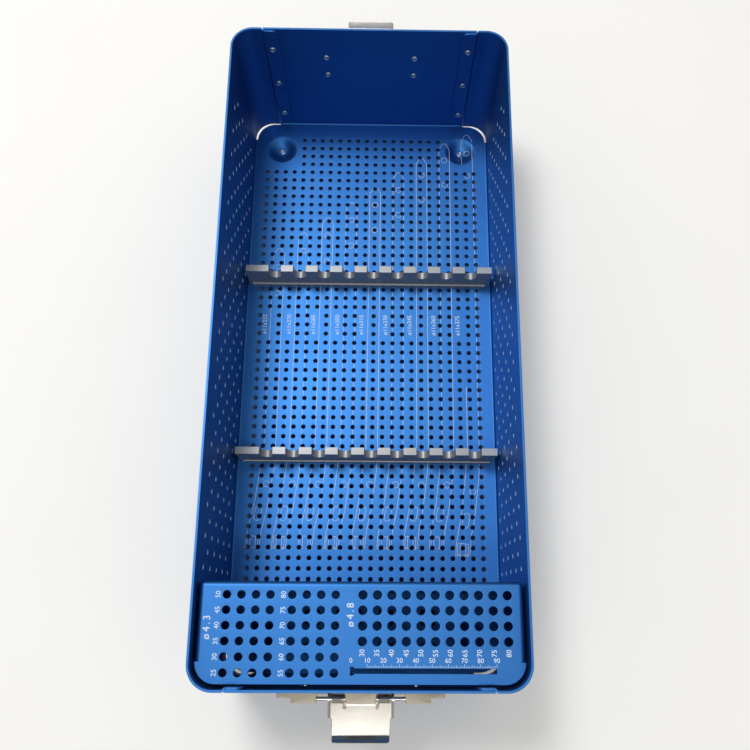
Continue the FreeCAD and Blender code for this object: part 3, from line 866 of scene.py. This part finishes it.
rack_mark_z = rack_top + mark_lift
mark_mesh = bmesh.new()
first_x, second_x, third_x = first_columns
for row in range(6):
    y = first_row_y - row * rack_pitch_y
    add_label(mark_mesh, str(50 - 5 * row), first_x - row_figures_left, y, rack_mark_z, row_figures, 90)
    add_label(mark_mesh, str(80 - 5 * row), second_x - row_figures_left, y, rack_mark_z, row_figures, 90)
for column in range(11):
    x = third_x + column * rack_pitch_x
    y = first_row_y - column_figures_drop
    add_label(mark_mesh, str(30 + 5 * column), x, y, rack_mark_z, column_figures, 90)
for diameter, x, drop in (("4.3", first_x - 11.4 * mm, 19.7 * mm), ("4.8", third_x - 7.6 * mm, 12.0 * mm)):
    y = first_row_y - drop
    add_label(mark_mesh, "ø" + diameter, x, y, rack_mark_z, group_figures, 90, group_spacing)
for number in range(10):
    x = scale_zero + number * scale_pitch
    add_label(mark_mesh, str(10 * number), x, scale_figures_y, rack_mark_z, scale_figures)
for tick in range(81):
    x = scale_zero + scale_pitch + tick * mm
    length = long_tick if tick % 10 == 0 else middle_tick if tick % 5 == 0 else short_tick
    add_bar(mark_mesh, (x, tick_start, rack_mark_z), (x, tick_start + length, rack_mark_z), tick_width)
rack_marks = piece("rack_markings", mark_mesh, laser_mark)
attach(rack_marks, "rack")

# Nail outlines
# Nine outlines of the nails that the tub holds, marked by laser on the base as thin lines that stop at the
# drain holes. Each has a rounded tip, cross holes, a long shaft that leans away at its head, a key at the
# head, and its plain size. They are drawn in millimetres.
outline_count = 9
outline_width = 0.3 * mm
outline_z = base_top + mark_lift
dish_mark_lift = 0.02 * mm
tip_x = -78.1
tip_y = 111.0
tip_pitch = 20.53
tip_step = 15
last_tip_y = 225.3
nail_half = 4.7
tip_shoulder = 7.0
tip_nose = 2.6
tip_hole_drops = (17.0, 41.5)
cross_hole = 2.5
head_hole = (-1.5, -93.0)
head_slot = ((-6.8, -112.8), (-8.0, -119.3))
last_head_shift = -5.0
step_length = 0.6 * mm
shortest_line = 0.1 * mm
rivet_clear = 0.2 * mm
shortest_nail = 255
label_size = 3.45 * mm
label_y = base_last_row - label_rows[1] * base_pitch
first_label_x = -87.5 * mm
label_pitch = 20.3 * mm
# The shaft's two sides towards the head, and the key: (shift from the nail's middle, y) of each corner.
head_left = ((-5.0, -60.0), (-7.3, -82.3), (-10.2, -106.7), (-15.2, -133.4), (-16.0, -143.0))
head_right = ((4.4, -60.0), (3.6, -82.2), (-0.5, -114.1), (-3.4, -127.5), (-5.0, -142.4))
key_corners = ((-14.1, -133.4), (-5.9, -134.2), (-6.4, -143.6), (-14.6, -142.0), (-14.1, -133.4))
key_inner = ((-12.3, -133.6), (-12.6, -142.3), (-8.2, -143.2), (-7.9, -134.0))
hole_places = set(base_holes)


def from_dish(point):
    """Distance from the point to the middle of the nearest foot's dish."""
    return min((point - Vector(dish)).length for dish in dish_places)


def over_hole(point):
    """True where the base has a drain hole or a foot's rivet under the point."""
    column = round(point.x / base_pitch + (base_columns - 1) / 2)
    row = round((base_last_row - point.y) / base_pitch)
    x = (column - (base_columns - 1) / 2) * base_pitch
    y = base_last_row - row * base_pitch
    in_hole = (x, y) in hole_places and (point - Vector((x, y))).length < base_hole + punch_round
    return in_hole or from_dish(point) < head + rivet_clear


def mark_place(point):
    """Place of a mark over the point, on the flat base or down in a dish."""
    radius = from_dish(point)
    if radius > dish_radius:
        return (*point, outline_z)
    return (*point, outline_z + dish_mark_lift - dish_drop(radius))


def trace(mesh, points):
    """Add a thin line through the (x, y) points in millimetres, open over the drain holes."""
    places = [Vector(point) * mm for point in points]
    for start, end in zip(places, places[1:]):
        count = max(1, round((end - start).length / step_length))
        run = None
        here = start
        for step in range(count + 1):
            before = here
            here = start.lerp(end, step / count)
            blocked = over_hole(here)
            curved = from_dish(before) < dish_radius
            if run is not None and (blocked or curved or step == count):
                stop = before if blocked else here
                if (stop - run).length > shortest_line:
                    add_bar(mesh, mark_place(run), mark_place(stop), outline_width)
                run = None
            if run is None and not blocked:
                run = here


outline_mesh = bmesh.new()
for number in range(outline_count):
    x = tip_x + number * tip_pitch
    y = min(tip_y + number * tip_step, last_tip_y)
    low = last_head_shift if number == outline_count - 1 else 0.0
    left = [(x + shift, run + low) for shift, run in reversed(head_left)]
    right = [(x + shift, run + low) for shift, run in head_right]
    tip = arc((x, y - tip_shoulder), nail_half, 180, 130, 3) + arc((x, y - tip_nose), tip_nose, 150, 30, 6)
    tip += arc((x, y - tip_shoulder), nail_half, 50, 0, 3)
    trace(outline_mesh, left + tip + right + left[:1])
    for drop in tip_hole_drops:
        trace(outline_mesh, arc((x, y - drop), cross_hole, 0, 360, 12))
    trace(outline_mesh, arc((x + head_hole[0], head_hole[1] + low), cross_hole, 0, 360, 12))
    slot_mark = []
    for (shift, run), start in zip(head_slot, (0, 180)):
        slot_mark += arc((x + shift, run + low), cross_hole, start, start + 180, 6)
    trace(outline_mesh, slot_mark + slot_mark[:1])
    for corners in (key_corners, key_inner):
        trace(outline_mesh, [(x + shift, run + low) for shift, run in corners])
    words = "ø11x" + str(shortest_nail + number * tip_step)
    add_label(outline_mesh, words, first_label_x + number * label_pitch, label_y, outline_z, label_size, 90)
outlines = piece("nail_outlines", outline_mesh, laser_mark)
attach(outlines, "tub")

# Latch mounts
# Stainless plates with three hooded ears, stamped, folded and riveted to each end panel.
# The ears' cheeks carry the hinge pin. The two ends are the same part, turned half round.
pivot_y = half_length + 6.2 * mm
pivot_z = base_top + 95.0 * mm
plate_in = -6.2 * mm
plate_out = -5.0 * mm
hood_top = 5.0 * mm
hood_under = 3.8 * mm
hood_inner_round = 0.6 * mm
hood_outer_round = 1.8 * mm
hood_front = 2.0 * mm
hood_step_front = -0.9 * mm
mount_half = 53.0 * mm
mount_low = -31.0 * mm
mount_chamfer = 6.0 * mm
middle_ear = 9.8 * mm
ear_start = 28.0 * mm
ear_end = 44.0 * mm
cheek_thick = 1.2 * mm
cheek_back = plate_out - 0.2 * mm
cheek_top = hood_under + 0.3 * mm
cheek_foot = -4.2 * mm
cheek_chin = -3.2 * mm
cheek_round_up = -1.5 * mm
middle_foot = 2.2 * mm
middle_round = 1.0 * mm
pin_bore = 1.6 * mm
front_round = 1.5 * mm


def near_place(x, out, up):
    """Place at the near end: x across, out from the hinge pin away from the tub, and up from the pin."""
    return (x, -pivot_y - out, pivot_z + up)


def at_both_ends(name, mesh, material):
    """Near and far pieces from a mesh that was built at the near end."""
    far_mesh = mesh.copy()
    bmesh.ops.transform(far_mesh, matrix=Matrix.Rotation(math.pi, 4, "Z"), verts=far_mesh.verts)
    return {"near": piece("near_" + name, mesh, material), "far": piece("far_" + name, far_mesh, material)}


# Stainless steel, type 304, for the mounts. Its colour is darker and warmer than the polished latch's:
# painted shade for the hoods' dimmer, warmer reflection. Its grain is about 0.05 mm, drawn at 0.4 mm.
pickled_steel, tree = new_material("stainless_steel_painted_shade")
place = add_node(tree, "ShaderNodeTexCoord")
at = place.outputs["Object"]
skin = add_node(tree, "ShaderNodeTexNoise", {"Vector": at, "Scale": 1 / (0.4 * mm), "Detail": 3.0})
shades = {0: skin.outputs["Fac"], 6: linear("857E70"), 7: linear("968F81")}
tint = add_node(tree, "ShaderNodeMix", shades, data_type="RGBA")
pickling = {"Height": skin.outputs["Fac"], "Strength": 0.1, "Distance": 0.03 * mm}
relief = add_node(tree, "ShaderNodeBump", pickling)
surface = add_node(
    tree,
    "ShaderNodeBsdfPrincipled",
    {"Base Color": tint.outputs[2], "Metallic": 1.0, "Roughness": 0.27, "Normal": relief.outputs["Normal"]},
)
add_node(tree, "ShaderNodeOutputMaterial", {"Surface": surface.outputs["BSDF"]})

mount_metal = new_sheet()
fold_up = hood_top - hood_outer_round
fold_out = plate_in + hood_outer_round
half_plate = [(mount_half - mount_chamfer, mount_low), (mount_half, mount_low + mount_chamfer)]
half_plate += [(mount_half, fold_up), (ear_start, fold_up), (ear_start, hood_top)]
half_plate += [(middle_ear, hood_top), (middle_ear, fold_up)]
plate_outline = both_halves(half_plate)
add_plate(
    mount_metal, plate_outline, [], lambda x, up: (near_place(x, plate_in, up), near_place(x, plate_out, up))
)
for low_x, high_x in ((-mount_half, -ear_start), (-middle_ear, middle_ear), (ear_start, mount_half)):

    def hood_fold(back, above):
        """Row along the fold between the plate and a hood."""
        top = (fold_out - hood_outer_round * back, fold_up + hood_outer_round * above)
        under = (fold_out - hood_inner_round * back, fold_up + hood_inner_round * above)
        return [(near_place(x, *top), near_place(x, *under)) for x in (low_x, high_x)]

    add_strip(mount_metal, fold_rows(hood_fold))
ear_outline = [(ear_start, fold_out), (mount_half, fold_out)]
ear_outline += arc((mount_half - front_round, hood_step_front - front_round), front_round, 0, 90, 4)
ear_outline += [(ear_end, hood_step_front)]
ear_outline += arc((ear_end - front_round, hood_front - front_round), front_round, 0, 90, 4)
ear_outline += arc((ear_start + front_round, hood_front - front_round), front_round, 90, 180, 4)
middle_outline = [(-middle_ear, fold_out), (middle_ear, fold_out)]
middle_outline += arc((middle_ear - front_round, hood_front - front_round), front_round, 0, 90, 4)
middle_outline += arc((front_round - middle_ear, hood_front - front_round), front_round, 90, 180, 4)
left_outline = [(-x, out) for x, out in reversed(ear_outline)]
for hood_outline in (left_outline, middle_outline, ear_outline):
    add_plate(
        mount_metal,
        hood_outline,
        [],
        lambda x, out: (near_place(x, out, hood_top), near_place(x, out, hood_under)),
    )
mount_mesh = closed_sheet(mount_metal)
cheek = [(cheek_back, cheek_foot), (0.0, cheek_chin)]
cheek += arc((hood_front - front_round, cheek_round_up), front_round, 300, 360, 4)
cheek += [(hood_front, cheek_top), (cheek_back, cheek_top)]
middle_cheek = [(cheek_back, middle_foot)]
middle_cheek += arc((hood_front - middle_round, middle_foot + middle_round), middle_round, 270, 360, 4)
middle_cheek += [(hood_front, cheek_top), (cheek_back, cheek_top)]
pin_hole = hole(0, 0, pin_bore, 24)
ear_cheeks = (ear_start, ear_end - cheek_thick)
cheek_sets = [(side, start, cheek, [pin_hole]) for side in (-1, 1) for start in ear_cheeks]
cheek_sets += [(side, middle_ear - cheek_thick, middle_cheek, []) for side in (-1, 1)]
for side, start, cheek_outline, cheek_holes in cheek_sets:
    faces_x = (side * start, side * (start + cheek_thick))
    block(
        mount_mesh,
        cheek_outline,
        cheek_holes,
        lambda out, up: (near_place(faces_x[0], out, up), near_place(faces_x[1], out, up)),
    )
soften_edges(mount_mesh, width=0.2 * mm)
for end, mount in at_both_ends("hooded_mount", mount_mesh, pickled_steel).items():
    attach(mount, "tub")
    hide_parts(end + "_latch_mount")

# Mount rivets
# Four tubular aluminium rivets of the same kind hold each latch mount to its end panel.
# Their low domes lie on the mount, and their ends are rolled over inside the tub.
mount_rivet_x = 35.3 * mm
mount_rivet_levels = (81.5 * mm, 103.0 * mm)
mount_stack = sheet + cheek_thick
mount_rivet_mesh = bmesh.new()
for side in (-1, 1):
    for level in mount_rivet_levels:
        tubular_rivet(mount_rivet_mesh, (side * mount_rivet_x, -inner_y, level), (0, -1, 0), mount_stack)
for end, rivets in at_both_ends("mount_rivet_set", mount_rivet_mesh, rivet_aluminium).items():
    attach(rivets, "tub")
    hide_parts(end + "_mount_rivets")

# Hinge pins
# A turned stainless pin through the ears' cheeks at each end, headed on both sides.
# The latch and the handle turn on it.
pin_radius = 1.5 * mm
pin_half = 44.2 * mm
pin_head = 2.1 * mm
pin_head_length = 0.6 * mm
pin_head_edge = 0.3 * mm
head_end = pin_half + pin_head_length
half_pin = [(-head_end, 0), (-head_end, 0.8 * pin_head), (pin_head_edge - head_end, pin_head)]
half_pin += [(-pin_half, pin_head), (-pin_half, pin_radius)]
pin_mesh = bmesh.new()
turned(pin_mesh, both_halves(half_pin), near_place(0, 0, 0), (1, 0, 0))
for end, pin in at_both_ends("headed_pin", pin_mesh, stainless).items():
    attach(pin, "tub")
    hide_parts(end + "_hinge_pin")

# Latch plates
# Stainless channels, stamped and folded. Their cheeks turn on the pin, and the lip at the tip hooks over the
# edge of a lid. At rest they are folded out level, below the hoods.
latch_heel = -4.8 * mm
latch_shoulder = 11.6 * mm
web_in = -4.0 * mm
web_out = -5.2 * mm
side_centre_x = 19.2 * mm
side_centre_up = -3.4 * mm
side_inner_round = 0.6 * mm
side_outer_round = 1.8 * mm
neck_half = 18.2 * mm
neck_run = 0.6 * mm
slope_up = -2.4 * mm
lip_start = 21.3 * mm
lip_inner_round = 1.0 * mm
lip_outer_round = 2.2 * mm
lip_length = 5.0 * mm
lip_angle = 41
lip_steps = 4
lip_corner = 2.0 * mm
eye_round = 3.5 * mm
latch_metal = new_sheet()
half_web = [(side_centre_x, latch_heel), (side_centre_x, latch_shoulder)]
half_web += [(neck_half, latch_shoulder + neck_run), (neck_half, lip_start)]
web = both_halves(half_web)
add_plate(latch_metal, web, [], lambda x, out: (near_place(x, out, web_in), near_place(x, out, web_out)))


def lip_bend(turn):
    """Places (out, up) of the sheet's inner and outer face where the lip's bend has turned by degrees."""
    across, along = math.sin(math.radians(turn)), 1 - math.cos(math.radians(turn))
    inner = (lip_start + lip_inner_round * across, web_in + lip_inner_round * along)
    outer = (lip_start + lip_outer_round * across, web_out + lip_outer_round * along)
    return inner, outer


lip_rows = []
for step in range(lip_steps + 1):
    inner, outer = lip_bend(lip_angle * step / lip_steps)
    lip_rows.append([(near_place(x, *inner), near_place(x, *outer)) for x in (-neck_half, neck_half)])
add_strip(latch_metal, lip_rows)
lip_inner, lip_outer = lip_bend(lip_angle)
lip_slope = (math.cos(math.radians(lip_angle)), math.sin(math.radians(lip_angle)))
lip_outline = [(-neck_half, 0), (neck_half, 0)]
lip_outline += arc((neck_half - lip_corner, lip_length - lip_corner), lip_corner, 0, 90, 5)
lip_outline += arc((lip_corner - neck_half, lip_length - lip_corner), lip_corner, 90, 180, 5)
add_plate(
    latch_metal,
    lip_outline,
    [],
    lambda x, run: (
        near_place(x, lip_inner[0] + lip_slope[0] * run, lip_inner[1] + lip_slope[1] * run),
        near_place(x, lip_outer[0] + lip_slope[0] * run, lip_outer[1] + lip_slope[1] * run),
    ),
)
slope_start = Vector((latch_shoulder, slope_up))
touch = math.degrees(math.atan2(slope_start.y, slope_start.x) + math.acos(eye_round / slope_start.length))
cheek_outline = [(latch_heel, side_centre_up), (latch_shoulder, side_centre_up), tuple(slope_start)]
cheek_outline += arc((0, 0), eye_round, touch, 180, 12)
for side in (-1, 1):

    def cheek_fold(across, below):
        """Row along the fold between the web and this cheek."""
        row = []
        for out in (latch_heel, latch_shoulder):
            places = []
            for radius in (side_inner_round, side_outer_round):
                x = side * (side_centre_x + radius * across)
                places.append(near_place(x, out, side_centre_up - radius * below))
            row.append(tuple(places))
        return row

    add_strip(latch_metal, fold_rows(cheek_fold))
    cheek_in = side * (side_centre_x + side_inner_round)
    cheek_out = side * (side_centre_x + side_outer_round)
    add_plate(
        latch_metal,
        cheek_outline,
        [pin_hole],
        lambda out, up: (near_place(cheek_in, out, up), near_place(cheek_out, out, up)),
    )
latch_mesh = closed_sheet(latch_metal)
soften_edges(latch_mesh, width=0.2 * mm)
for end, latch in at_both_ends("folded_latch", latch_mesh, stainless).items():
    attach(latch, end + "_latch")
    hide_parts(end + "_latch_plate")

# Latch springs
# One stainless wire for each latch, wound into two coils on the pin. Its ends press on the mount
# and its middle, the bridge, presses on the latch.
spring_wire = 0.45 * mm
coil_radius = 2.3 * mm
coil_near_x = 11.05 * mm
coil_far_x = 18.55 * mm
coil_turns = 8
turn_steps = 16
bridge_out = 3.8 * mm
bridge_up = -3.45 * mm
loop_out = 6.0 * mm
loop_half = 0.65 * mm
# Bends of the two legs beside each coil: (out, up) from the hinge pin.
back_leg = ((-4.9 * mm, spring_wire), (-3.2 * mm, spring_wire), (-2.6 * mm, 0.3 * mm))
front_leg = ((2.2 * mm, -3.0 * mm), (3.6 * mm, bridge_up))


def tube(mesh, path, radius, sides=12):
    """Add a round wire to the mesh along the path, closed at both ends."""
    points = [Vector(point) for point in path]
    side = None
    rings = []
    for number, point in enumerate(points):
        before = points[max(number - 1, 0)]
        after = points[min(number + 1, len(points) - 1)]
        tangent = (after - before).normalized()
        side = tangent.orthogonal() if side is None else side - tangent * side.dot(tangent)
        side.normalize()
        other = tangent.cross(side)
        ring = []
        for step in range(sides):
            angle = 2 * math.pi * step / sides
            ring.append(mesh.verts.new(point + (side * math.cos(angle) + other * math.sin(angle)) * radius))
        rings.append(ring)
    for low, high in zip(rings, rings[1:]):
        for step in range(sides):
            ahead = (step + 1) % sides
            mesh.faces.new([low[step], low[ahead], high[ahead], high[step]])
    mesh.faces.new(rings[0][::-1])
    mesh.faces.new(rings[-1])


half_spring = [near_place(coil_far_x, *bend) for bend in back_leg]
coil_steps = coil_turns * turn_steps
for step in range(coil_steps + 1):
    angle = math.radians(180 + (360 * coil_turns + 90) * step / coil_steps)
    x = coil_far_x + (coil_near_x - coil_far_x) * step / coil_steps
    half_spring.append(near_place(x, coil_radius * math.cos(angle), coil_radius * math.sin(angle)))
half_spring += [near_place(coil_near_x, *bend) for bend in front_leg]
for x, out in arc((coil_near_x - loop_half, loop_out - loop_half), loop_half, 0, 180, 8):
    half_spring.append(near_place(x, out, bridge_up))
for x, out in arc((coil_near_x - 3 * loop_half, bridge_out + loop_half), loop_half, 0, -90, 4):
    half_spring.append(near_place(x, out, bridge_up))
spring_mesh = bmesh.new()
tube(spring_mesh, both_halves(half_spring), spring_wire, 10)
for end, spring in at_both_ends("wound_spring", spring_mesh, stainless).items():
    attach(spring, end + "_latch")
    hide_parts(end + "_latch_spring")

# Drop handles
# A stainless wire for each end, bent to three sides of a rectangle with round corners. Its ends are forged to
# eyes that turn on the pin, under the hoods and inside the ears' outer cheeks.
wire = 2.2 * mm
arm_x = 40.2 * mm
arm_up = -2.2 * mm
handle_bend = 10.0 * mm
grip_up = -46.0 * mm
eye_outer = 3.1 * mm
eye_inner = 1.56 * mm
eye_edge = 0.7 * mm
eye_bevel = 0.2 * mm
half_handle = [near_place(arm_x, 0, arm_up), near_place(arm_x, 0, grip_up + handle_bend)]
for x, up in arc((arm_x - handle_bend, grip_up + handle_bend), handle_bend, 0, -90, 12)[1:]:
    half_handle.append(near_place(x, 0, up))
handle_mesh = bmesh.new()
tube(handle_mesh, both_halves(half_handle), wire, 24)
half_eye = [(-wire, eye_inner), (-wire, eye_outer - eye_edge)]
half_eye += [(eye_bevel - wire, eye_outer - eye_bevel), (eye_edge - wire, eye_outer)]
eye_profile = both_halves(half_eye) + half_eye[:1]
for side in (-1, 1):
    turned(handle_mesh, eye_profile, near_place(side * arm_x, 0, 0), (1, 0, 0), 32)
bmesh.ops.remove_doubles(handle_mesh, verts=handle_mesh.verts, dist=same_place)
for end, handle in at_both_ends("wire_handle", handle_mesh, stainless).items():
    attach(handle, end + "_handle")
    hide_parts(end + "_handle")

# Studio
# A pale floor in a pale room, with a broad soft lamp overhead to the left and a small one above the near end.
# The floor under the tub alone is painted dark, a painted shadow that makes the drain holes show dark.
floor_half = 6.0
# Painted shadow under the tub: full from 12 mm inside its walls, none from 4 mm inside.
shade_full = 12 * mm
shade_none = 4 * mm

camera_data = bpy.data.cameras.new("camera")
camera_data.lens = 39.2
camera_data.sensor_width = 36.0
camera_data.shift_x = -0.026
camera_data.shift_y = -0.0087
camera = bpy.data.objects.new("camera", camera_data)
camera.location = (11.5 * mm, -188.2 * mm, 660.7 * mm)
camera.rotation_euler = [math.radians(angle) for angle in (16.42, -0.98, 0.25)]
bpy.context.scene.collection.objects.link(camera)
bpy.context.scene.camera = camera

floor_mesh = bmesh.new()
bmesh.ops.create_grid(floor_mesh, x_segments=1, y_segments=1, size=floor_half)
floor_material, tree = new_material("matt_white_paper_painted_shadow")
place = add_node(tree, "ShaderNodeTexCoord")
at = place.outputs["Object"]
fibre = add_node(tree, "ShaderNodeTexNoise", {"Vector": at, "Scale": 1 / (80 * mm), "Detail": 2.0})
shades = {0: fibre.outputs["Fac"], 6: linear("F6F5F2"), 7: linear("F9F8F5")}
tone = add_node(tree, "ShaderNodeMix", shades, data_type="RGBA")
# Painted shadow: under the tub the paper's colour turns to the dark blue-grey 35466E, by distance from the
# walls.
axes = add_node(tree, "ShaderNodeSeparateXYZ", {"Vector": at})
reach = []
for axis, half in (("X", inner_x), ("Y", inner_y)):
    away = add_node(tree, "ShaderNodeMath", {0: axes.outputs[axis]}, operation="ABSOLUTE")
    beyond = add_node(tree, "ShaderNodeMath", {0: away.outputs[0], 1: half}, operation="SUBTRACT")
    reach.append(beyond.outputs[0])
from_wall = add_node(tree, "ShaderNodeMath", {0: reach[0], 1: reach[1]}, operation="MAXIMUM")
fading = {"Value": from_wall.outputs[0], "From Min": -shade_full, "From Max": -shade_none}
open_air = add_node(tree, "ShaderNodeMapRange", fading, interpolation_type="SMOOTHSTEP")
shades = {0: open_air.outputs["Result"], 6: linear("35466E"), 7: tone.outputs[2]}
shaded = add_node(tree, "ShaderNodeMix", shades, data_type="RGBA")
surface = add_node(tree, "ShaderNodeBsdfPrincipled", {"Base Color": shaded.outputs[2], "Roughness": 0.9})
add_node(tree, "ShaderNodeOutputMaterial", {"Surface": surface.outputs["BSDF"]})
floor = piece("floor", floor_mesh, floor_material)

world = bpy.data.worlds.new("pale_room")
bpy.context.scene.world = world
world.use_nodes = True
tree = world.node_tree
tree.nodes.clear()
room = add_node(tree, "ShaderNodeBackground", {"Color": linear("FFFEFB"), "Strength": 0.55})
add_node(tree, "ShaderNodeOutputWorld", {"Surface": room.outputs["Background"]})


def soft_lamp(name, place, size, watts):
    """Square soft lamp that points at the middle of the container."""
    data = bpy.data.lights.new(name, "AREA")
    data.size = size
    data.energy = watts
    lamp = bpy.data.objects.new(name, data)
    lamp.location = place
    lamp.rotation_euler = Vector(place).to_track_quat("Z", "Y").to_euler()
    bpy.context.scene.collection.objects.link(lamp)


soft_lamp("ceiling_lamp", (-0.45, 0.55, 1.9), 0.5, 17.5)
soft_lamp("near_lamp", (-0.04, -0.77, 1.9), 0.32, 4.5)
bpy.context.scene.view_settings.view_transform = "Standard"
